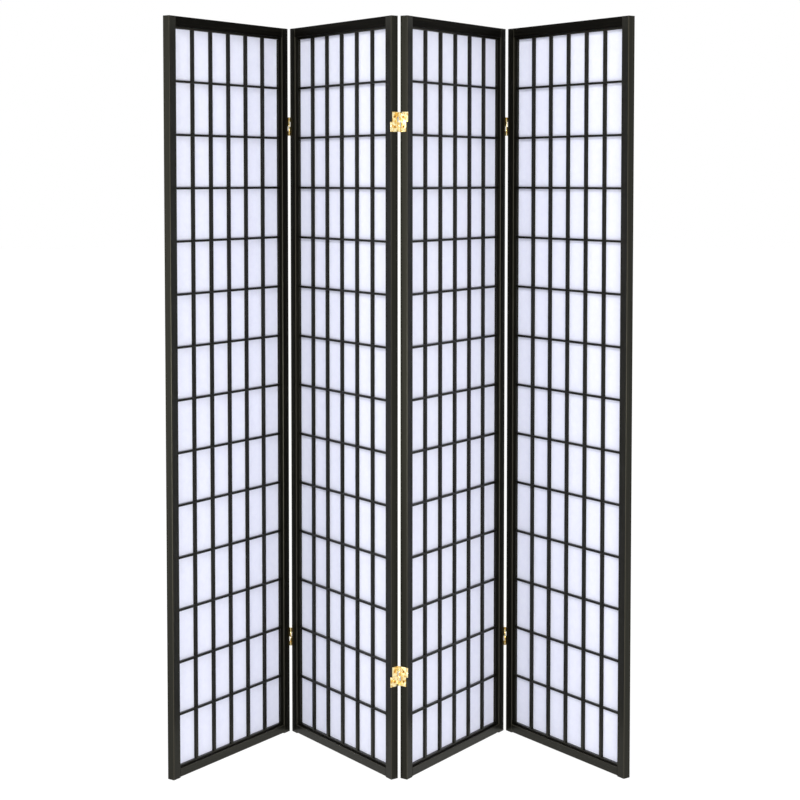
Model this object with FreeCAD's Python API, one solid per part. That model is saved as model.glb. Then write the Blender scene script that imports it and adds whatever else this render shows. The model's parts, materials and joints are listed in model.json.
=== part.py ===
"""Four-panel shoji folding screen.

Each panel is a stile-and-rail frame of stained softwood. Inside it sits a lattice of uprights and
crossbars within its own thin border, and a sheet of paper is glued to the back of the lattice.
The panels hang together on two-way screen hinges, two to a fold. Such a hinge has a leaf on each
stile and two links that cross between them, so the fold can turn about either face of the panels.

X runs along the screen, from left to right. Y runs from the front to the back, and Z is up.
The origin is on the floor, at the centre of the space that the open screen takes up.
"""

import FreeCAD, Part
import math
import os

from FreeCAD import Placement, Rotation, Vector

os.makedirs("parts", exist_ok=True)

# ---------------------------------------------------------------- driving dimensions, in mm
# The screen
panel_width = 438.0
panel_height = 1785.0
panel_depth = 19.5
# Each panel stands at this angle to the line of the screen, by turns one way and the other
panel_angle = 54.85

# Frame
stile_width = 23.4
top_rail_height = 22.8
bottom_rail_height = 20.0
# The stiles stand on the floor and hold the bottom rail this far above it
rail_ground_clearance = 1.5
arris_chamfer = 0.9
tenon_thickness = 8.0
tenon_length = 14.0
tenon_shoulder = 3.5
tenon_clearance = 0.15

# Lattice
border_face = 5.5
lattice_depth = 6.8
upright_count = 5
upright_face = 7.6
crossbar_count = 13
crossbar_face = 5.3
# The crossbars are let into the front of the uprights, which keep a web behind them
crossbar_depth = 5.0
housing_clearance = 0.05

# Paper
paper_thickness = 0.5
paper_edge_clearance = 1.0

# Two-way hinges
hinge_height = 46.0
hinge_from_end = 244.0
hinge_plate = 1.0
# Half the gap between two panels that stand in line, and the reach of a pin's axis beyond a face
half_gap = 2.0
axis_reach = 1.8
# Metalwork this small has flat sides, so many to a full round, which keeps the model light.
# A leaf's knuckle rolls round all but the last few of them.
round_sides = 10
knuckle_wrap_sides = 8
pin_clearance = 0.05
knuckle_gap = 0.3
leaf_edge_inset = 2.5
link_edge_inset = 0.5
screw_head_radius = 2.9
screw_shank_radius = 1.6
screw_tip_radius = 0.3
screw_length = 17.0
screw_spacing = 23.0
screw_seat_clearance = 0.05
link_hole_radius = 3.4

# ---------------------------------------------------------------- sizes that follow
opening_left = stile_width
opening_right = panel_width - stile_width
opening_bottom = rail_ground_clearance + bottom_rail_height
opening_top = panel_height - top_rail_height

lattice_front = (panel_depth - lattice_depth) / 2
lattice_back = lattice_front + lattice_depth
field_left = opening_left + border_face
field_right = opening_right - border_face
field_bottom = opening_bottom + border_face
field_top = opening_top - border_face

cell_width = (field_right - field_left - upright_count * upright_face) / (upright_count + 1)
cell_height = (field_top - field_bottom - crossbar_count * crossbar_face) / (crossbar_count + 1)

# A knuckle is the leaf's own plate, rolled so that its outside meets the stile's end face
knuckle_radius = half_gap
bore_radius = knuckle_radius - hinge_plate
# A pin turns free of the flats of its bore
pin_radius = bore_radius * math.cos(math.pi / round_sides) - pin_clearance
half_height = hinge_height / 2
half_split = half_height / 2
back_axis = panel_depth + axis_reach
front_axis = -axis_reach
hinge_levels = (hinge_from_end, panel_height - hinge_from_end)


across = Vector(1, 0, 0)
up = Vector(0, 0, 1)


# ---------------------------------------------------------------- shared operations
def block(x_span, y_span, z_span):
    """A rectangular bar between the given low and high coordinates."""
    size = [high - low for low, high in (x_span, y_span, z_span)]
    corner = Vector(x_span[0], y_span[0], z_span[0])
    return Part.makeBox(size[0], size[1], size[2], corner)


def edges_along(solid, axis):
    """The straight edges of a solid that run along one axis: 0 for X, 1 for Y, 2 for Z."""
    found = []
    for edge in solid.Edges:
        start, end = edge.Vertexes[0].Point, edge.Vertexes[-1].Point
        across = [abs(start[i] - end[i]) for i in range(3) if i != axis]
        if max(across) < 1e-6:
            found.append(edge)
    return found


def eased(solid, axis):
    """The bar with the sharp corners along its length planed off."""
    return solid.makeChamfer(arris_chamfer, edges_along(solid, axis))


def fused(solids):
    """The solids as one, with no seams left between their faces."""
    return solids[0].multiFuse(solids[1:]).removeSplitter()


def cut_away(solid, tools):
    """The solid with every tool cut from it at once."""
    return solid.cut(Part.makeCompound(tools))


def round_corner(radius, side, height=0):
    """A corner of a many-sided round about the Z axis, its sides counted from the X axis."""
    angle = 2 * math.pi * side / round_sides
    return Vector(radius * math.cos(angle), radius * math.sin(angle), height)


def turned(foot, direction, stations):
    """A many-sided round solid along an axis, given as (distance along it, radius) stations."""
    sections = []
    for distance, radius in stations:
        corners = [round_corner(radius, side, distance) for side in range(round_sides)]
        sections.append(Part.makePolygon(corners, True))
    solid = Part.makeLoft(sections, True, True)
    solid.Placement = Placement(foot, Rotation(up, direction))
    return solid


# ---------------------------------------------------------------- frame
# In a panel's own frame, X runs from 0 at its left end face, Y from 0 at its front face
def tenon(x_span, rail_bottom, rail_top, clearance):
    """A rail's tenon, or with a clearance the mortise for it, centred in the panel's depth."""
    half_thickness = tenon_thickness / 2 + clearance
    middle = panel_depth / 2
    return block(
        (x_span[0] - clearance, x_span[1] + clearance),
        (middle - half_thickness, middle + half_thickness),
        (rail_bottom + tenon_shoulder - clearance, rail_top - tenon_shoulder + clearance),
    )


rails = {
    "top_rail": (opening_top, panel_height),
    "bottom_rail": (rail_ground_clearance, opening_bottom),
}


def rail(name):
    """A top or bottom rail: a bar between the stiles with a stub tenon at each end."""
    bottom, top = rails[name]
    bar = eased(block((opening_left, opening_right), (0, panel_depth), (bottom, top)), 0)
    tenon_ends = (opening_left - tenon_length, opening_right + tenon_length)
    return fused([bar, tenon(tenon_ends, bottom, top, 0)])


def stile(x_span):
    """A full-height upright of the frame, with a blind mortise for each rail."""
    bar = eased(block(x_span, (0, panel_depth), (0, panel_height)), 2)
    tenon_ends = (opening_left - tenon_length, opening_right + tenon_length)
    mortises = [tenon(tenon_ends, bottom, top, tenon_clearance) for bottom, top in rails.values()]
    return cut_away(bar, mortises)


# ---------------------------------------------------------------- lattice and paper
lattice_span = (lattice_front, lattice_back)
crossbar_span = (lattice_front, lattice_front + crossbar_depth)


def crossbar_bottom(row):
    """The height of a crossbar's lower face, counting the rows from the bottom."""
    return field_bottom + cell_height + row * (cell_height + crossbar_face)


def upright(column):
    """A lattice upright, with a housing cut across its front for each crossbar."""
    left = field_left + cell_width + column * (cell_width + upright_face)
    bar = block((left, left + upright_face), lattice_span, (field_bottom, field_top))
    housings = []
    for row in range(crossbar_count):
        bottom = crossbar_bottom(row)
        housings.append(
            block(
                (left - 1, left + upright_face + 1),
                (lattice_front - 1, crossbar_span[1] + housing_clearance),
                (bottom - housing_clearance, bottom + crossbar_face + housing_clearance),
            )
        )
    return cut_away(bar, housings)


def crossbar(row):
    """A lattice crossbar, flush with the front of the uprights."""
    bottom = crossbar_bottom(row)
    return block((field_left, field_right), crossbar_span, (bottom, bottom + crossbar_face))


def lattice_border():
    """The thin strips that carry the lattice: two run the full height, two fit between them."""
    full_height = (opening_bottom, opening_top)
    between = (field_left, field_right)
    return [
        block((opening_left, field_left), lattice_span, full_height),
        block((field_right, opening_right), lattice_span, full_height),
        block(between, lattice_span, (opening_bottom, field_bottom)),
        block(between, lattice_span, (field_top, opening_top)),
    ]


def paper():
    """The sheet that covers the whole back of the lattice and its border."""
    edge = paper_edge_clearance
    return block(
        (opening_left + edge, opening_right - edge),
        (lattice_back, lattice_back + paper_thickness),
        (opening_bottom + edge, opening_top - edge),
    )


# ---------------------------------------------------------------- two-way hinge
# In a hinge's own frame, X is 0 midway between the two stiles when the panels stand in line,
# Y is 0 at their front faces, and Z is 0 at half the hinge's height.
# The upper half of a hinge holds one link and the lower half the other. In each half the leaf's
# knuckle is at the outer end of its pin, and the link's knuckle is at the inner end.
leaf_knuckle_span = (half_split + knuckle_gap / 2, half_height)
link_knuckle_span = (knuckle_gap, half_split - knuckle_gap / 2)
screw_level = screw_spacing / 2


def about_middle(shape, axis):
    """The shape turned half way round an axis through the middle of the hinge."""
    turned = shape.copy()
    turned.rotate(Vector(0, panel_depth / 2, 0), axis, 180)
    return turned


def rolled_edge(z_span):
    """The leaf's plate from its middle to the back pin, where it rolls round the bore."""
    first_side = round_sides // 2
    wrap = range(first_side, first_side - knuckle_wrap_sides - 1, -1)
    outside = [round_corner(knuckle_radius, side) for side in wrap]
    inside = [round_corner(bore_radius, side) for side in reversed(wrap)]
    to_middle = panel_depth / 2 - back_axis
    plate = [Vector(-bore_radius, to_middle, 0), Vector(-knuckle_radius, to_middle, 0)]
    outline = Part.Face(Part.makePolygon(outside + inside + plate, True))
    roll = outline.extrude(Vector(0, 0, z_span[1] - z_span[0]))
    return roll.translated(Vector(0, back_axis, z_span[0]))


def screw_seat(level):
    """A countersunk hole through the left leaf."""
    face = Vector(-bore_radius, panel_depth / 2, level)
    return turned(face, -across, [
        (0, screw_head_radius + screw_seat_clearance),
        (hinge_plate, screw_shank_radius + screw_seat_clearance),
    ])


def left_leaf():
    """The leaf on the left stile: rolled round the back pin above and the front pin below."""
    plate = block(
        (-knuckle_radius, -bore_radius),
        (leaf_edge_inset, panel_depth - leaf_edge_inset),
        (-half_height, half_height),
    )
    above = rolled_edge(leaf_knuckle_span)
    below = about_middle(above, across)
    holes = [screw_seat(level) for level in (-screw_level, screw_level)]
    return cut_away(fused([plate, above, below]), holes)


def upper_link():
    """The link of the upper half: a plate between the leaves, with an eye on each pin."""
    low, high = link_knuckle_span
    eyes = []
    bores = []
    for axis_y in (back_axis, front_axis):
        foot = Vector(0, axis_y, low)
        eyes.append(turned(foot, up, [(0, knuckle_radius), (high - low, knuckle_radius)]))
        bores.append(turned(foot, up, [(0, bore_radius), (high - low, bore_radius)]))
    half_plate = (-hinge_plate / 2, hinge_plate / 2)
    web = block(half_plate, (front_axis, back_axis), link_knuckle_span)
    plate_span = (link_edge_inset, panel_depth - link_edge_inset)
    plate = block(half_plate, plate_span, (low, half_height))
    hole_foot = Vector(-hinge_plate / 2, panel_depth / 2, screw_level)
    hole = turned(hole_foot, across, [(0, link_hole_radius), (hinge_plate, link_hole_radius)])
    return cut_away(fused(eyes + [web, plate]), bores + [hole])


def upper_pin(axis_y):
    """A pin through the leaf's and the link's knuckles in the upper half."""
    length = half_height - knuckle_gap
    return turned(Vector(0, axis_y, knuckle_gap), up, [(0, pin_radius), (length, pin_radius)])


def left_screw(level):
    """A countersunk wood screw that holds the left leaf to its stile."""
    face = Vector(-bore_radius, panel_depth / 2, level)
    return turned(face, -across, [
        (0, screw_head_radius),
        (hinge_plate, screw_shank_radius),
        (screw_length, screw_tip_radius),
    ])


def hinge_pieces():
    """Every piece of one hinge, with the panels in line. Its right half is the left one turned."""
    leaf = left_leaf()
    link = upper_link()
    left_pins = [upper_pin(back_axis), about_middle(upper_pin(back_axis), across)]
    left_screws = [left_screw(level) for level in (-screw_level, screw_level)]
    return {
        "left_leaf": [leaf],
        "right_leaf": [about_middle(leaf, up)],
        "upper_link": [link],
        "lower_link": [about_middle(link, across)],
        "left_pins": left_pins,
        "right_pins": [about_middle(pin, up) for pin in left_pins],
        "left_screws": left_screws,
        "right_screws": [about_middle(screw, up) for screw in left_screws],
    }


# ---------------------------------------------------------------- the screen
def panel_placement(angle, own_point, meets):
    """The placement that turns a panel by an angle and brings a point of its own to a place."""
    turn = Rotation(up, angle)
    return Placement(meets - turn.multVec(own_point), turn)


def axis_point(end, side):
    """A hinge axis in a panel's frame: at its left or right end, on its front or back."""
    x = panel_width + half_gap if end == "right" else -half_gap
    return Vector(x, back_axis if side == "back" else front_axis, 0)


def open_screen(middle_axis):
    """The four panels' placements, worked out from the axis of the middle fold."""
    second = panel_placement(-panel_angle, axis_point("right", "back"), middle_axis)
    third = panel_placement(panel_angle, axis_point("left", "back"), middle_axis)
    left_axis = second.multVec(axis_point("left", "front"))
    right_axis = third.multVec(axis_point("right", "front"))
    first = panel_placement(panel_angle, axis_point("right", "front"), left_axis)
    fourth = panel_placement(-panel_angle, axis_point("left", "front"), right_axis)
    return {1: first, 2: second, 3: third, 4: fourth}


def panel_nodes(number):
    """The solids of one panel, in its own frame, by node name."""
    name = f"panel_{number}_"
    return {
        name + "left_stile": [stile((0, opening_left))],
        name + "right_stile": [stile((opening_right, panel_width))],
        name + "top_rail": [rail("top_rail")],
        name + "bottom_rail": [rail("bottom_rail")],
        name + "lattice_border": lattice_border(),
        name + "lattice_uprights": [upright(column) for column in range(upright_count)],
        name + "lattice_crossbars": [crossbar(row) for row in range(crossbar_count)],
        name + "paper": [paper()],
    }


def hinge_nodes(left, folds_back):
    """The pieces of the two hinges between a panel and the next, as (panel, solids) by node."""
    right = left + 1
    pieces = hinge_pieces()
    # Folded back, a hinge turns on its back pins and the upper link lies on the right leaf.
    # Folded forward, it turns on its front pins and the upper link lies on the left leaf.
    upper_rides, lower_rides = (right, left) if folds_back else (left, right)
    name = f"hinge_{left}{right}_"
    rides = {
        name + f"leaves_on_panel_{left}": (left, "left_leaf"),
        name + f"leaves_on_panel_{right}": (right, "right_leaf"),
        name + "upper_links": (upper_rides, "upper_link"),
        name + "lower_links": (lower_rides, "lower_link"),
        name + f"pins_on_panel_{left}": (left, "left_pins"),
        name + f"pins_on_panel_{right}": (right, "right_pins"),
        name + f"screws_on_panel_{left}": (left, "left_screws"),
        name + f"screws_on_panel_{right}": (right, "right_screws"),
    }
    nodes = {}
    for node, (panel, piece) in rides.items():
        middle_of_gap = panel_width + half_gap if panel == left else -half_gap
        solids = []
        for level in hinge_levels:
            for solid in pieces[piece]:
                solids.append(solid.translated(Vector(middle_of_gap, 0, level)))
        nodes[node] = (panel, solids)
    return nodes


def placed(solids, placement):
    """One shape that holds the solids, moved from their panel's frame to the screen's."""
    return Part.makeCompound([solid.transformed(placement.toMatrix()) for solid in solids])


def all_nodes():
    """Every node of the screen, as (panel that it rides on, solids in that panel's frame)."""
    nodes = {}
    for number in range(1, 5):
        for node, solids in panel_nodes(number).items():
            nodes[node] = (number, solids)
    nodes.update(hinge_nodes(1, folds_back=False))
    nodes.update(hinge_nodes(2, folds_back=True))
    nodes.update(hinge_nodes(3, folds_back=False))
    return nodes


nodes = all_nodes()
trial = open_screen(Vector(0, 0, 0))
outline = Part.makeCompound([placed(solids, trial[panel]) for panel, solids in nodes.values()])
middle_axis = Vector(0, -outline.optimalBoundingBox(False).Center.y, 0)
placements = open_screen(middle_axis)

for node, (panel, solids) in nodes.items():
    placed(solids, placements[panel]).exportStep(f"parts/{node}.step")

folds = {
    "12": placements[2].multVec(axis_point("left", "front")),
    "23": middle_axis,
    "34": placements[3].multVec(axis_point("right", "front")),
}
for fold, axis in folds.items():
    print(f"fold {fold}: axis at x {axis.x:.4f}, y {axis.y:.4f}")
print(f"cells: {cell_width:.2f} wide, {cell_height:.2f} high, nodes: {len(nodes)}")
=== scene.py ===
import json
import math

import bmesh
import bpy
from mathutils import Matrix, Vector


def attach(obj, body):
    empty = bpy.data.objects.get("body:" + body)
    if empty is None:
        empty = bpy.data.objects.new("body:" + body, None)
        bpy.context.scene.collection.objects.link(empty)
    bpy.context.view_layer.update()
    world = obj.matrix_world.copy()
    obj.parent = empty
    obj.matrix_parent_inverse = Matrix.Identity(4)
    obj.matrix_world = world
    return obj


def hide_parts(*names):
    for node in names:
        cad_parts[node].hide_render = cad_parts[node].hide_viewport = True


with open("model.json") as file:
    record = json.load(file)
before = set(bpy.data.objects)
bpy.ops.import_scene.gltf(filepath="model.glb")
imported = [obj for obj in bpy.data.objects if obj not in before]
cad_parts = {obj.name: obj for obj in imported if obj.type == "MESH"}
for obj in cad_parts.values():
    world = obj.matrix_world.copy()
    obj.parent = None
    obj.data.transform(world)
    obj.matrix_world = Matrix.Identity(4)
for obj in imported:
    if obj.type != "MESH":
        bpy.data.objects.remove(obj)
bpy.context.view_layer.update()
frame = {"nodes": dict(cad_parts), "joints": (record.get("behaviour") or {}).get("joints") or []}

mm = 0.001

# ---------------------------------------------------------------- frame of a panel
# Two stiles and two rails of planed pine, tenoned and glued at the corners. The bars are stained
# black before the lattice goes in, and their arrises are eased so that the stain doesn't rub off.
PANEL_TURN = math.radians(54.85)
PANEL_TURNS = {1: PANEL_TURN, 2: -PANEL_TURN, 3: PANEL_TURN, 4: -PANEL_TURN}
PANEL_WIDTH = 438 * mm
PANEL_HEIGHT = 1785 * mm
PANEL_DEPTH = 19.5 * mm
STILE_WIDTH = 23.4 * mm
OPENING_BOTTOM = 21.5 * mm
OPENING_TOP = PANEL_HEIGHT - 22.8 * mm


def colour(hex_code):
    """A linear colour from an sRGB hex code such as 33342e."""
    channels = [int(hex_code[i:i + 2], 16) / 255 for i in (0, 2, 4)]
    return (*[c / 12.92 if c < 0.04045 else ((c + 0.055) / 1.055) ** 2.4 for c in channels], 1)


def add(tree, kind, settings=None, **links):
    """Adds a node, sets its properties and sockets by name, and links the sockets named last."""
    node = tree.nodes.new(kind)
    for name, value in (settings or {}).items():
        if name in node.inputs:
            node.inputs[name].default_value = value
        else:
            setattr(node, name, value)
    for name, source in links.items():
        tree.links.new(source, node.inputs[name.replace("_", " ")])
    return node


def new_material(name):
    """An empty material and its node tree."""
    material = bpy.data.materials.new(name)
    material.use_nodes = True
    material.node_tree.nodes.clear()
    return material, material.node_tree


SATIN_LACQUER = 0.24
STAINED_TONES = ("050504", "0c0b09", "201e18")
# The tones that follow paint a highlight on the arrises, paler than the stain
ARRIS_HIGHLIGHT_TONES = ("2b2923", "3a372f", "4a463b")


def black_stained_pine(name, turn, lying, painted_highlight=False, lacquer=SATIN_LACQUER):
    """Planed pine under a black wiping stain and a thin satin lacquer.

    To the eye it is a warm black, with paler streaks along the grain where the hard latewood took
    less stain. The lacquer's soft gloss greys it wherever it looks at something bright. The paler
    grey-brown set of tones is a painted highlight, put on the arrises.
    """
    # Streaks are 1 to 2 mm wide on real pine. The wide ones are drawn at 4 mm, so that they show.
    wide_streak, wide_length = 4.0, 380.0
    fine_streak, fine_length = 1.1, 70.0
    material, tree = new_material(name)
    upright = Matrix.Rotation(-turn, 3, "Z")
    along = Matrix.Rotation(math.radians(90), 3, "Y") @ upright if lying else upright
    place = add(tree, "ShaderNodeTexCoord").outputs["Object"]
    grain = add(tree, "ShaderNodeMapping", {"Rotation": along.to_euler("XYZ")}, Vector=place)

    def streaks(width, length, detail):
        scale = (1 / (width * mm), 1 / (width * mm), 1 / (length * mm))
        stretched = add(tree, "ShaderNodeMapping", {"Scale": scale}, Vector=grain.outputs[0])
        noise = add(tree, "ShaderNodeTexNoise", {"Scale": 1.0, "Detail": detail, "Roughness": 0.6},
                    Vector=stretched.outputs[0])
        return noise.outputs[0]

    wide = streaks(wide_streak, wide_length, 3.0)
    fine = streaks(fine_streak, fine_length, 4.0)
    grain_mix = add(tree, "ShaderNodeMix", {"Factor": 0.42, "data_type": "FLOAT"})
    tree.links.new(wide, grain_mix.inputs[2])
    tree.links.new(fine, grain_mix.inputs[3])
    tone = add(tree, "ShaderNodeValToRGB", Fac=grain_mix.outputs[0])
    stops = tone.color_ramp.elements
    dark, middling, pale = ARRIS_HIGHLIGHT_TONES if painted_highlight else STAINED_TONES
    stops[0].position, stops[0].color = 0.30, colour(dark)
    stops[1].position, stops[1].color = 0.72, colour(pale)
    middle = stops.new(0.52)
    middle.color = colour(middling)
    gloss = add(tree, "ShaderNodeMapRange", {"To Min": 0.22, "To Max": 0.38}, Value=fine)
    relief = add(tree, "ShaderNodeBump", {"Strength": 0.5, "Distance": 0.12 * mm}, Height=fine)
    # The lacquer has yellowed a little, which warms what it reflects
    wood = add(tree, "ShaderNodeBsdfPrincipled", {"IOR": 1.5, "Specular IOR Level": lacquer,
                                                  "Specular Tint": colour("fffde0")},
               Base_Color=tone.outputs[0], Roughness=gloss.outputs[0], Normal=relief.outputs[0])
    add(tree, "ShaderNodeOutputMaterial", Surface=wood.outputs[0])
    return material


standing_pine = {n: black_stained_pine(f"black_stained_pine_standing_{n}", turn, False)
                 for n, turn in PANEL_TURNS.items()}
lying_pine = {n: black_stained_pine(f"black_stained_pine_lying_{n}", turn, True)
              for n, turn in PANEL_TURNS.items()}
# Copies in the paler tones, which paint a highlight on the arrises
standing_arris = {n: black_stained_pine(f"painted_highlight_arris_standing_{n}", turn, False, painted_highlight=True)
                  for n, turn in PANEL_TURNS.items()}
lying_arris = {n: black_stained_pine(f"painted_highlight_arris_lying_{n}", turn, True, painted_highlight=True)
               for n, turn in PANEL_TURNS.items()}
# Painted shade: a nearly glossless copy of the pine keeps the top rails blacker than the rest
TOP_RAIL_SHADE_GLOSS = 0.02
shaded_top_rail_pine = {n: black_stained_pine(f"thirsty_pine_lying_{n}", turn, True,
                                      lacquer=TOP_RAIL_SHADE_GLOSS)
                for n, turn in PANEL_TURNS.items()}


def finish_in(node, *materials):
    """Gives a piece of the model its materials in place of the plain one."""
    slots = frame["nodes"][node].data.materials
    slots.clear()
    for material in materials:
        slots.append(material)


# A face that looks this squarely along one of the panel's directions is a flat side
SQUARE_ON = 0.95


def paint_arris_highlights(node, turn):
    """Paints a highlight on the faces that lean between the piece's flat sides, its second
    material.
    """
    to_panel = Matrix.Rotation(-turn, 3, "Z")
    for face in frame["nodes"][node].data.polygons:
        facing = to_panel @ face.normal
        face.material_index = 1 if max(abs(part) for part in facing) < SQUARE_ON else 0


for n, turn in PANEL_TURNS.items():
    for member, pine, arris in (("left_stile", standing_pine[n], standing_arris[n]),
                                ("right_stile", standing_pine[n], standing_arris[n]),
                                # The top rails take the nearly glossless copy, a painted shade, on
                                # all their faces
                                ("top_rail", shaded_top_rail_pine[n], shaded_top_rail_pine[n]),
                                ("bottom_rail", lying_pine[n], lying_arris[n])):
        finish_in(f"panel_{n}_{member}", pine, arris)
        paint_arris_highlights(f"panel_{n}_{member}", turn)

# ---------------------------------------------------------------- lattice
# Slender pine sticks, housed into each other and stained with the frame. A thin border of the
# same stuff holds them, pinned inside the frame about midway in its depth.
BORDER_FACE = 5.5 * mm
LATTICE_BACK = 13.15 * mm
CELLS_ACROSS, CELLS_UP = 6, 14
# The strips that lie along the rails keep within this distance of the opening's ends
LYING_STRIP_REACH = 1.5 * BORDER_FACE

for n in PANEL_TURNS:
    finish_in(f"panel_{n}_lattice_uprights", standing_pine[n])
    finish_in(f"panel_{n}_lattice_crossbars", lying_pine[n])
    finish_in(f"panel_{n}_lattice_border", standing_pine[n], lying_pine[n])
    border = frame["nodes"][f"panel_{n}_lattice_border"].data
    for face in border.polygons:
        corners = [border.vertices[i].co.z for i in face.vertices]
        low_strip = max(corners) < OPENING_BOTTOM + LYING_STRIP_REACH
        high_strip = min(corners) > OPENING_TOP - LYING_STRIP_REACH
        face.material_index = 1 if low_strip or high_strip else 0

# ---------------------------------------------------------------- paper
# One sheet of white shoji paper a panel, brushed with paste and laid on the back of the lattice.
# It is sprayed to draw it tight as it dries, so only the faintest cockle is left in each cell.
PAPER_MARGIN = 1 * mm
PAPER_WIDTH = PANEL_WIDTH - 2 * STILE_WIDTH - 2 * PAPER_MARGIN
PAPER_HEIGHT = OPENING_TOP - OPENING_BOTTOM - 2 * PAPER_MARGIN
PAPER_THICKNESS = 0.2 * mm
PASTE = 0.02 * mm
COCKLE = 0.1 * mm
STEPS_PER_CELL_ACROSS, STEPS_PER_CELL_UP = 4, 5
FOLDS = {joint["name"]: Vector(joint["pos_m"]) for joint in frame["joints"]}
HALF_GAP = 2.0 * mm
AXIS_REACH = 1.8 * mm


def panel_to_row(n):
    """The matrix from a panel's frame to the row's: X from its left end, Y from its front."""
    right_front = Vector((PANEL_WIDTH + HALF_GAP, -AXIS_REACH, 0))
    right_back = Vector((PANEL_WIDTH + HALF_GAP, PANEL_DEPTH + AXIS_REACH, 0))
    left_back = Vector((-HALF_GAP, PANEL_DEPTH + AXIS_REACH, 0))
    left_front = Vector((-HALF_GAP, -AXIS_REACH, 0))
    own_point, fold = {
        1: (right_front, "fold_12"),
        2: (right_back, "fold_23"),
        3: (left_back, "fold_23"),
        4: (left_front, "fold_34"),
    }[n]
    turn = Matrix.Rotation(PANEL_TURNS[n], 4, "Z")
    axis_foot = Vector((FOLDS[fold].x, FOLDS[fold].y, 0))
    return Matrix.Translation(axis_foot - turn @ own_point) @ turn


def shoji_paper(name, turn):
    """Machine-made shoji paper of wood pulp with a little rayon, not yet yellowed.

    To the eye it is a cool matt white with soft cloudy patches and stray hair-fine fibres.
    """
    cloud_size, fibre_width, fibre_length = 14.0, 0.9, 16.0
    material, tree = new_material(name)
    place = add(tree, "ShaderNodeTexCoord").outputs["Object"]
    flat = add(tree, "ShaderNodeMapping", {"Rotation": (0, 0, -turn)}, Vector=place)
    cloud = add(tree, "ShaderNodeTexNoise",
                {"Scale": 1 / (cloud_size * mm), "Detail": 5.0, "Roughness": 0.62},
                Vector=flat.outputs[0])
    fibres = add(tree, "ShaderNodeMath", {"operation": "MAXIMUM"})
    for socket, lean in zip(fibres.inputs, (35, -50)):
        scale = (1 / (fibre_width * mm), 1, 1 / (fibre_length * mm))
        leaning = add(tree, "ShaderNodeMapping", {"Rotation": (0, math.radians(lean), 0)},
                      Vector=flat.outputs[0])
        drawn = add(tree, "ShaderNodeMapping", {"Scale": scale}, Vector=leaning.outputs[0])
        strand = add(tree, "ShaderNodeTexNoise", {"Scale": 1.0, "Detail": 1.0},
                     Vector=drawn.outputs[0])
        thin = add(tree, "ShaderNodeMapRange", {"From Min": 0.62, "From Max": 0.74, "To Max": 0.3},
                   Value=strand.outputs[0])
        tree.links.new(thin.outputs[0], socket)
    tone = add(tree, "ShaderNodeValToRGB", Fac=cloud.outputs[0])
    stops = tone.color_ramp.elements
    stops[0].position, stops[0].color = 0.30, colour("e6e8f8")
    stops[1].position, stops[1].color = 0.70, colour("ebedfb")
    fibre_tone = add(tree, "ShaderNodeMix", {"data_type": "RGBA"})
    tree.links.new(fibres.outputs[0], fibre_tone.inputs["Factor"])
    tree.links.new(tone.outputs[0], fibre_tone.inputs[6])
    fibre_tone.inputs[7].default_value = colour("f6f7ff")
    relief = add(tree, "ShaderNodeBump", {"Strength": 0.35, "Distance": 0.05 * mm},
                 Height=cloud.outputs[0])
    paper = add(tree, "ShaderNodeBsdfPrincipled", {"Roughness": 0.82, "IOR": 1.45,
                                                   "Sheen Weight": 0.15},
                Base_Color=fibre_tone.outputs[2], Normal=relief.outputs[0])
    add(tree, "ShaderNodeOutputMaterial", Surface=paper.outputs[0])
    return material


def paper_sheet(n):
    """A sheet with a front and a back face, a little cockled inside each cell of the lattice."""
    steps_across = CELLS_ACROSS * STEPS_PER_CELL_ACROSS
    steps_up = CELLS_UP * STEPS_PER_CELL_UP
    left = STILE_WIDTH + PAPER_MARGIN
    bottom = OPENING_BOTTOM + PAPER_MARGIN
    place = panel_to_row(n)
    sheet = bmesh.new()
    sides = []
    for back in (0, 1):
        rows = []
        for row in range(steps_up + 1):
            across_row = []
            for column in range(steps_across + 1):
                u, v = column / steps_across, row / steps_up
                free = abs(math.sin(math.pi * CELLS_ACROSS * u) * math.sin(math.pi * CELLS_UP * v))
                # A slow wave makes the cells differ from each other, and the panels too
                wave = math.sin(2.3 * CELLS_ACROSS * u + 5.1 * CELLS_UP * v + 1.7 * n)
                hollow = COCKLE * free * (0.6 + 0.4 * wave)
                y = LATTICE_BACK + PASTE + hollow + back * PAPER_THICKNESS
                spot = Vector((left + u * PAPER_WIDTH, y, bottom + v * PAPER_HEIGHT))
                across_row.append(sheet.verts.new(place @ spot))
            rows.append(across_row)
        sides.append(rows)
        for row in range(steps_up):
            for column in range(steps_across):
                ring = [rows[row][column], rows[row][column + 1],
                        rows[row + 1][column + 1], rows[row + 1][column]]
                sheet.faces.new(ring[::-1] if back else ring)
    front, behind = sides

    def edge_of(rows):
        """The outer points of one face in order, round the sheet."""
        loop = rows[0][:-1] + [row[-1] for row in rows[:-1]]
        return loop + rows[-1][:0:-1] + [row[0] for row in rows[:0:-1]]

    front_edge, back_edge = edge_of(front), edge_of(behind)
    for i in range(len(front_edge)):
        sheet.faces.new([front_edge[i - 1], back_edge[i - 1], back_edge[i], front_edge[i]])
    bmesh.ops.recalc_face_normals(sheet, faces=sheet.faces)
    mesh = bpy.data.meshes.new(f"paper_{n}")
    sheet.to_mesh(mesh)
    mesh.shade_smooth()
    mesh.set_sharp_from_angle(angle=math.radians(50))
    return mesh


def new_piece(name, mesh, material, body, node):
    """Puts a piece in the scene in place of the model's plain one."""
    piece = bpy.data.objects.new(name, mesh)
    bpy.context.scene.collection.objects.link(piece)
    mesh.materials.clear()
    mesh.materials.append(material)
    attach(piece, body)
    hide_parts(node)
    return piece


for n, turn in PANEL_TURNS.items():
    sheet = new_piece(f"paper_sheet_{n}", paper_sheet(n), shoji_paper(f"shoji_paper_{n}", turn),
                      f"panel_{n}", f"panel_{n}_paper")

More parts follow.
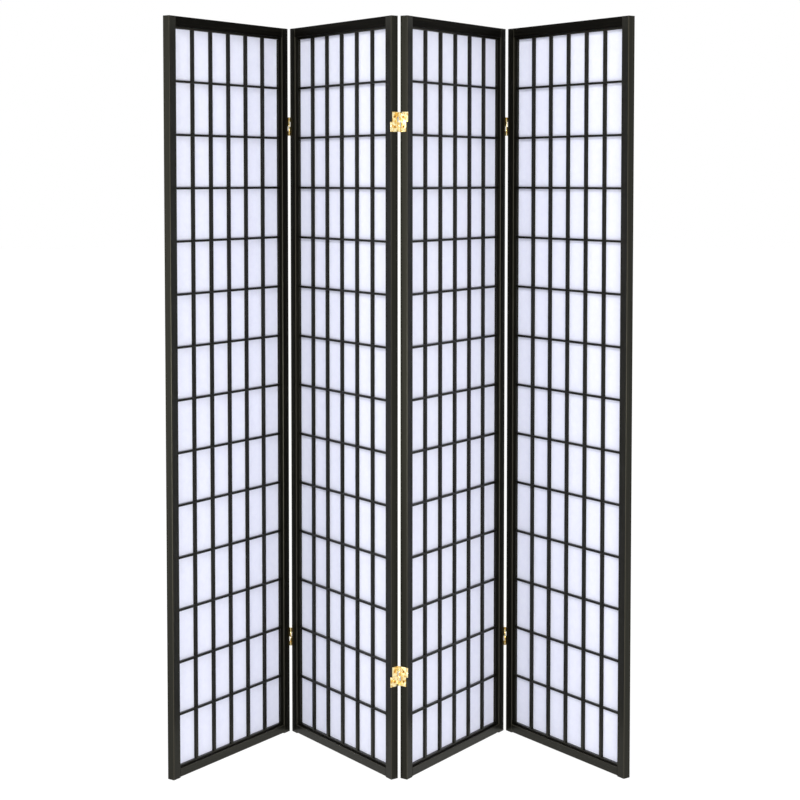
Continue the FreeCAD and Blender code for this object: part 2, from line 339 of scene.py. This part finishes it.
# ---------------------------------------------------------------- hinge metalwork in general
# Two-way screen hinges, two to a fold: sheet-brass leaves on the stiles' ends and two links that
# cross between them. They are blanked and rolled from strip, polished and clear lacquered.
HINGE_HEIGHT = 46 * mm
HINGE_FROM_END = 244 * mm
HINGE_LEVELS = (HINGE_FROM_END, PANEL_HEIGHT - HINGE_FROM_END)
PLATE = 1.0 * mm
KNUCKLE_RADIUS = HALF_GAP
BORE_RADIUS = KNUCKLE_RADIUS - PLATE
KNUCKLE_GAP = 0.3 * mm
BACK_AXIS = PANEL_DEPTH + AXIS_REACH
MID_DEPTH = PANEL_DEPTH / 2
HALF_HEIGHT = HINGE_HEIGHT / 2
HALF_SPLIT = HALF_HEIGHT / 2
ROUND = 40
TURNED_ABOUT_Z = (Matrix.Translation((0, MID_DEPTH, 0)) @ Matrix.Rotation(math.pi, 4, "Z")
                  @ Matrix.Translation((0, -MID_DEPTH, 0)))
TURNED_ABOUT_X = (Matrix.Translation((0, MID_DEPTH, 0)) @ Matrix.Rotation(math.pi, 4, "X")
                  @ Matrix.Translation((0, -MID_DEPTH, 0)))


def polished_brass(name, worn_tone, clean_tone):
    """Yellow brass strip, polished on a wheel and clear lacquered.

    To the eye it is a bright warm yellow with white lights, faint polishing lines up and down, and
    a browner tone in patches where the lacquer has thinned.
    """
    # Polishing lines are finer than a tenth of a millimetre. They are drawn at 0.5 mm to show.
    line_width, line_length, patch = 0.5, 25.0, 7.0
    material, tree = new_material(name)
    place = add(tree, "ShaderNodeTexCoord").outputs["Object"]
    scale = (1 / (line_width * mm), 1 / (line_width * mm), 1 / (line_length * mm))
    drawn = add(tree, "ShaderNodeMapping", {"Scale": scale}, Vector=place)
    lines = add(tree, "ShaderNodeTexNoise", {"Scale": 1.0, "Detail": 3.0}, Vector=drawn.outputs[0])
    patches = add(tree, "ShaderNodeTexNoise", {"Scale": 1 / (patch * mm), "Detail": 4.0},
                  Vector=place)
    tone = add(tree, "ShaderNodeValToRGB", Fac=patches.outputs[0])
    stops = tone.color_ramp.elements
    stops[0].position, stops[0].color = 0.36, colour(worn_tone)
    stops[1].position, stops[1].color = 0.54, colour(clean_tone)
    gloss = add(tree, "ShaderNodeMapRange", {"To Min": 0.12, "To Max": 0.32},
                Value=lines.outputs[0])
    relief = add(tree, "ShaderNodeBump", {"Strength": 0.25, "Distance": 0.03 * mm},
                 Height=lines.outputs[0])
    brass = add(tree, "ShaderNodeBsdfPrincipled", {"Metallic": 1.0}, Base_Color=tone.outputs[0],
                Roughness=gloss.outputs[0], Normal=relief.outputs[0])
    add(tree, "ShaderNodeOutputMaterial", Surface=brass.outputs[0])
    return material


brass = polished_brass("polished_brass", "e2b457", "fbedb8")


def lofted(rings):
    """A closed mesh through rings of points, all with the same count, capped at both ends."""
    shape = bmesh.new()
    layers = [[shape.verts.new(point) for point in ring] for ring in rings]
    for lower, upper in zip(layers, layers[1:]):
        for i in range(len(lower)):
            shape.faces.new([lower[i - 1], lower[i], upper[i], upper[i - 1]])
    shape.faces.new(layers[0][::-1])
    shape.faces.new(layers[-1])
    bmesh.ops.recalc_face_normals(shape, faces=shape.faces)
    mesh = bpy.data.meshes.new("blank")
    shape.to_mesh(mesh)
    return mesh


def prism(outline, low, high):
    """A flat outline of (x, y) points drawn up from one height to another."""
    return lofted([[Vector((x, y, z)) for x, y in outline] for z in (low, high)])


def bar(x_span, y_span, z_span):
    """A rectangular block between low and high coordinates."""
    (x0, x1), (y0, y1) = x_span, y_span
    return prism([(x0, y0), (x1, y0), (x1, y1), (x0, y1)], *z_span)


def arc(radius, start, end, steps):
    """Points on an arc about the origin, by angle in degrees."""
    angles = [math.radians(start + (end - start) * i / steps) for i in range(steps + 1)]
    return [(radius * math.cos(a), radius * math.sin(a)) for a in angles]


def turned(place, stations):
    """A round solid along the Z axis of a placing, through (distance, radius) stations."""
    rings = []
    for distance, radius in stations:
        circle = arc(radius, 0, 360, ROUND)[:-1]
        rings.append([place @ Vector((x, y, distance)) for x, y in circle])
    return lofted(rings)


def worked(name, blank, added=(), cut=(), edge=0.12 * mm):
    """A blank with other solids joined to it or cut from it, and its sharp edges broken."""
    scene = bpy.context.scene
    work = bpy.data.objects.new(name, blank)
    scene.collection.objects.link(work)
    tools = []
    for operation, meshes in (("UNION", added), ("DIFFERENCE", cut)):
        for mesh in meshes:
            tool = bpy.data.objects.new("tool", mesh)
            scene.collection.objects.link(tool)
            step = work.modifiers.new(operation, "BOOLEAN")
            step.operation, step.solver, step.object = operation, "EXACT", tool
            tools.append(tool)
    ease = work.modifiers.new("ease", "BEVEL")
    ease.width, ease.segments, ease.limit_method = edge, 2, "ANGLE"
    ease.angle_limit = math.radians(40)
    bpy.context.view_layer.update()
    mesh = bpy.data.meshes.new_from_object(
        work.evaluated_get(bpy.context.evaluated_depsgraph_get()))
    mesh.name = name
    for item in (work, *tools):
        bpy.data.objects.remove(item)
    mesh.shade_smooth()
    mesh.set_sharp_from_angle(angle=math.radians(38))
    return mesh


def in_both_hinges(name, meshes, panel, at_right_end):
    """Copies of a hinge's meshes at both hinges on one end of a panel, as one mesh."""
    joined = bmesh.new()
    middle_of_gap = PANEL_WIDTH + HALF_GAP if at_right_end else -HALF_GAP
    for level in HINGE_LEVELS:
        place = panel_to_row(panel) @ Matrix.Translation((middle_of_gap, 0, level))
        for mesh, turn in meshes:
            copy = mesh.copy()
            copy.transform(place @ turn)
            joined.from_mesh(copy)
            bpy.data.meshes.remove(copy)
    whole = bpy.data.meshes.new(name)
    joined.to_mesh(whole)
    return whole


# ---------------------------------------------------------------- hinge leaves
# One lies on each stile's end face, held by two screws. Above, its back edge is rolled round a
# pin, and below, its front edge is. The leaf on the other stile is the same one turned round.
LEAF_EDGE_INSET = 2.5 * mm
LEAF_KNUCKLE = (HALF_SPLIT + KNUCKLE_GAP / 2, HALF_HEIGHT)
# A knuckle rolls from the plate nearly all the way round its pin, in degrees
ROLL_START, ROLL_END, ROLL_STEPS = 180, -108, 28
SCREW_LEVELS = (-11.5 * mm, 11.5 * mm)
HEAD_RADIUS = 2.9 * mm
SHANK_RADIUS = 1.6 * mm


def leaf_mesh():
    """The left leaf, about the middle of its hinge with the panels in line."""
    roll = [(x, y + BACK_AXIS)
            for x, y in arc(KNUCKLE_RADIUS, ROLL_START, ROLL_END, ROLL_STEPS)]
    bore = [(x, y + BACK_AXIS)
            for x, y in arc(BORE_RADIUS, ROLL_END, ROLL_START, ROLL_STEPS)]
    flat = [(-BORE_RADIUS, LEAF_EDGE_INSET), (-KNUCKLE_RADIUS, LEAF_EDGE_INSET)]
    above = prism(roll + bore + flat, *LEAF_KNUCKLE)
    below = above.copy()
    below.transform(TURNED_ABOUT_X)
    middle = bar((-KNUCKLE_RADIUS, -BORE_RADIUS), (LEAF_EDGE_INSET, PANEL_DEPTH - LEAF_EDGE_INSET),
                 (-LEAF_KNUCKLE[0] - 0.5 * mm, LEAF_KNUCKLE[0] + 0.5 * mm))
    across = Matrix.Rotation(-math.pi / 2, 4, "Y")
    seats = []
    for level in SCREW_LEVELS:
        place = Matrix.Translation((-BORE_RADIUS, MID_DEPTH, level)) @ across
        clear = 0.05 * mm
        seats.append(turned(place, [(-0.3 * mm, HEAD_RADIUS + clear), (0, HEAD_RADIUS + clear),
                                    (PLATE + 0.2 * mm, SHANK_RADIUS)]))
    return worked("leaf", middle, added=(above, below), cut=seats)


LEFT_PANELS = (1, 2, 3)
STILL = Matrix.Identity(4)


def fit_to_both_stiles(kind, meshes, metal):
    """Puts a left leaf's meshes on every fold, and the same turned round on the right stile."""
    for left in LEFT_PANELS:
        right = left + 1
        fold = f"{left}{right}"
        for panel, at_right_end, turn in ((left, True, STILL), (right, False, TURNED_ABOUT_Z)):
            placed = [(mesh, turn @ own_turn) for mesh, own_turn in meshes]
            mesh = in_both_hinges(f"{kind}_{fold}_{panel}", placed, panel, at_right_end)
            new_piece(f"brass_{kind}_{fold}_on_{panel}", mesh, metal, f"panel_{panel}",
                      f"hinge_{fold}_{kind}_on_panel_{panel}")


fit_to_both_stiles("leaves", [(leaf_mesh(), STILL)], brass)

# ---------------------------------------------------------------- hinge links
# Flat plates between the leaves with an eye on each edge, one in the upper half of the hinge and
# one in the lower, crossing the other way. A hole lets the screwdriver through to the leaf.
LINK_KNUCKLE = (KNUCKLE_GAP, HALF_SPLIT - KNUCKLE_GAP / 2)
LINK_HOLE_RADIUS = 3.4 * mm
LINK_EDGE_INSET = 0.5 * mm


def link_mesh():
    """The upper link, about the middle of its hinge with the panels in line."""
    low, high = LINK_KNUCKLE
    eyes = []
    bores = []
    for axis_y in (-AXIS_REACH, BACK_AXIS):
        foot = Matrix.Translation((0, axis_y, 0))
        eyes.append(turned(foot, [(low, KNUCKLE_RADIUS), (high, KNUCKLE_RADIUS)]))
        bores.append(turned(foot, [(low - 1 * mm, BORE_RADIUS), (high + 1 * mm, BORE_RADIUS)]))
    web = bar((-PLATE / 2, PLATE / 2), (-AXIS_REACH, BACK_AXIS), (low, high))
    plate_depth = (LINK_EDGE_INSET, PANEL_DEPTH - LINK_EDGE_INSET)
    plate = bar((-PLATE / 2, PLATE / 2), plate_depth, (low + 0.2 * mm, HALF_HEIGHT))
    through = (Matrix.Translation((-PLATE, MID_DEPTH, SCREW_LEVELS[1]))
               @ Matrix.Rotation(math.pi / 2, 4, "Y"))
    hole = turned(through, [(0, LINK_HOLE_RADIUS), (2 * PLATE, LINK_HOLE_RADIUS)])
    return worked("link", web, added=(plate, *eyes), cut=(*bores, hole))


link = link_mesh()
for left in LEFT_PANELS:
    right = left + 1
    fold = f"{left}{right}"
    # The outer folds turn on their front pins and the middle one on its back pins
    upper_on, lower_on = (right, left) if left == 2 else (left, right)
    for half, panel, turn in (("upper", upper_on, STILL), ("lower", lower_on, TURNED_ABOUT_X)):
        mesh = in_both_hinges(f"links_{fold}_{half}", [(link, turn)], panel, panel == left)
        new_piece(f"brass_{half}_links_{fold}", mesh, brass, f"panel_{panel}",
                  f"hinge_{fold}_{half}_links")

# ---------------------------------------------------------------- hinge pins
# Drawn brass wire, pushed through the rolled knuckle and the link's eye and cut off flush. Its
# ends are dressed to a slight dome.
PIN_RADIUS = 0.9 * mm
PIN_DOME = 0.25 * mm


def pin_mesh():
    """The left leaf's pin in the upper half of the hinge."""
    foot = Matrix.Translation((0, BACK_AXIS, 0))
    low, high, dome = KNUCKLE_GAP, HALF_HEIGHT, PIN_DOME
    return worked("pin", turned(foot, [
        (low, PIN_RADIUS - dome),
        (low + 0.3 * dome, PIN_RADIUS - 0.4 * dome),
        (low + dome, PIN_RADIUS),
        (high - dome, PIN_RADIUS),
        (high - 0.3 * dome, PIN_RADIUS - 0.4 * dome),
        (high, PIN_RADIUS - dome),
    ]), edge=0.02 * mm)


pin = pin_mesh()
fit_to_both_stiles("pins", [(pin, STILL), (pin, TURNED_ABOUT_X)], brass)

# ---------------------------------------------------------------- hinge screws
# Countersunk cross-head wood screws of brass-plated steel, two to a leaf, driven along the stile's
# width. Only the head shows, level with the leaf.
SCREW_LENGTH = 17 * mm
SCREW_TIP_RADIUS = 0.3 * mm
RECESS_ARM = 1.7 * mm
RECESS_WIDTH = 0.7 * mm
RECESS_DEPTH = 1.0 * mm


def cross(arm, width, z):
    """The outline of a cross at one height, with arms of a length and width."""
    a, w = arm, width / 2
    quarter = [(a, -w), (a, w), (w, w)]
    points = []
    for _ in range(4):
        points += quarter
        quarter = [(-y, x) for x, y in quarter]
    return [Vector((x, y, z)) for x, y in points]


def screw_mesh(level):
    """A screw of the left leaf, its head's face on the leaf's."""
    inwards = (Matrix.Translation((-BORE_RADIUS, MID_DEPTH, level))
               @ Matrix.Rotation(-math.pi / 2, 4, "Y"))
    body = turned(inwards, [(0, HEAD_RADIUS), (0.12 * mm, HEAD_RADIUS), (PLATE, SHANK_RADIUS),
                            (0.7 * SCREW_LENGTH, SHANK_RADIUS), (SCREW_LENGTH, SCREW_TIP_RADIUS)])
    deep = RECESS_DEPTH
    recess = lofted([
        [inwards @ p for p in cross(RECESS_ARM * 1.1, RECESS_WIDTH * 1.1, -0.1 * deep)],
        [inwards @ p for p in cross(RECESS_ARM * 0.35, RECESS_WIDTH * 0.6, deep)],
    ])
    return worked("screw", body, cut=(recess,), edge=0.05 * mm)


plated_steel = polished_brass("brass_plated_steel", "8f5f22", "cf9a45")
fit_to_both_stiles("screws", [(screw_mesh(level), STILL) for level in SCREW_LEVELS],
                   plated_steel)

# ---------------------------------------------------------------- studio
# A seamless white sweep. The floor and the world are white to the camera, in gloss and through
# glass, and the floor keeps a share of plain diffuse white, which holds the screen's soft shadow.
FLOOR_REACH = 30.0
SWEEP_GLOW = 1.1
SWEEP_GLOW_SHARE = 0.86
ROOM_LEVEL = 0.62


def seen_directly(tree):
    """1 for camera, glossy and transmission rays, 0 for the rest."""
    path = add(tree, "ShaderNodeLightPath")
    total = path.outputs["Is Camera Ray"]
    for other in ("Is Glossy Ray", "Is Transmission Ray"):
        either = add(tree, "ShaderNodeMath", {"operation": "MAXIMUM"})
        tree.links.new(total, either.inputs[0])
        tree.links.new(path.outputs[other], either.inputs[1])
        total = either.outputs[0]
    return total


def white_sweep():
    """Matt white studio paper."""
    material, tree = new_material("white_studio_sweep")
    matt = add(tree, "ShaderNodeBsdfDiffuse", {"Color": (0.9, 0.9, 0.9, 1)})
    glow = add(tree, "ShaderNodeEmission", {"Color": (1, 1, 1, 1), "Strength": SWEEP_GLOW})
    share = add(tree, "ShaderNodeMath", {"operation": "MULTIPLY"})
    tree.links.new(seen_directly(tree), share.inputs[0])
    share.inputs[1].default_value = SWEEP_GLOW_SHARE
    mixed = add(tree, "ShaderNodeMixShader")
    tree.links.new(share.outputs[0], mixed.inputs[0])
    tree.links.new(matt.outputs[0], mixed.inputs[1])
    tree.links.new(glow.outputs[0], mixed.inputs[2])
    add(tree, "ShaderNodeOutputMaterial", Surface=mixed.outputs[0])
    return material


floor_mesh = bpy.data.meshes.new("floor")
far = FLOOR_REACH
floor_mesh.from_pydata([(-far, -far, 0), (far, -far, 0), (far, far, 0), (-far, far, 0)],
                       [], [(0, 1, 2, 3)])
floor_mesh.materials.append(white_sweep())
floor = bpy.data.objects.new("floor", floor_mesh)
bpy.context.scene.collection.objects.link(floor)

world = bpy.data.worlds.new("studio")
world.use_nodes = True
world.node_tree.nodes.clear()
sky = world.node_tree
room = add(sky, "ShaderNodeBackground", {"Color": (1, 1, 1, 1), "Strength": ROOM_LEVEL})
white = add(sky, "ShaderNodeBackground", {"Color": (1, 1, 1, 1), "Strength": 1.0})
choice = add(sky, "ShaderNodeMixShader")
sky.links.new(seen_directly(sky), choice.inputs[0])
sky.links.new(room.outputs[0], choice.inputs[1])
sky.links.new(white.outputs[0], choice.inputs[2])
add(sky, "ShaderNodeOutputWorld", Surface=choice.outputs[0])
bpy.context.scene.world = world


def soft_box(name, place, target, width, height, power):
    """A large soft lamp that looks at a point."""
    lamp = bpy.data.lights.new(name, "AREA")
    lamp.shape, lamp.size, lamp.size_y, lamp.energy = "RECTANGLE", width, height, power
    holder = bpy.data.objects.new(name, lamp)
    holder.location = place
    aim = Vector(target) - Vector(place)
    holder.rotation_euler = aim.to_track_quat("-Z", "Y").to_euler()
    bpy.context.scene.collection.objects.link(holder)


soft_box("key_light", (-2.0, -5.5, 6.0), (0, 0, 0.8), 1.8, 1.8, 226)
soft_box("low_fill_light", (1.1, -4.8, 0.3), (0, 0, 0.3), 2.5, 0.6, 112)
# A bright card at the left, which the brass and the stiles' ends catch
soft_box("side_card", (-3.4, -1.5, 1.1), (0, -0.2, 1.0), 1.2, 2.2, 15)

# ---------------------------------------------------------------- camera
# A long-ish lens at chest height, tipped down a little. The lens is shifted to take in the whole
# height of the screen while its uprights stay nearly parallel.
IMAGE_SIDE = 800
FOCAL_PIXELS = 1703.0
CENTRE_ROW = 264.0
TIPPED_DOWN = math.radians(2.85)
TURNED_RIGHT = math.radians(0.54)
camera = bpy.data.cameras.new("camera")
camera.sensor_width = 36.0
camera.lens = FOCAL_PIXELS / IMAGE_SIDE * camera.sensor_width
camera.shift_y = -(IMAGE_SIDE / 2 - CENTRE_ROW) / IMAGE_SIDE
viewer = bpy.data.objects.new("camera", camera)
viewer.location = (-0.0352, -4.1194, 1.4088)
viewer.rotation_euler = (math.pi / 2 - TIPPED_DOWN, 0, -TURNED_RIGHT)
bpy.context.scene.collection.objects.link(viewer)
bpy.context.scene.camera = viewer
bpy.context.scene.view_settings.view_transform = "Standard"
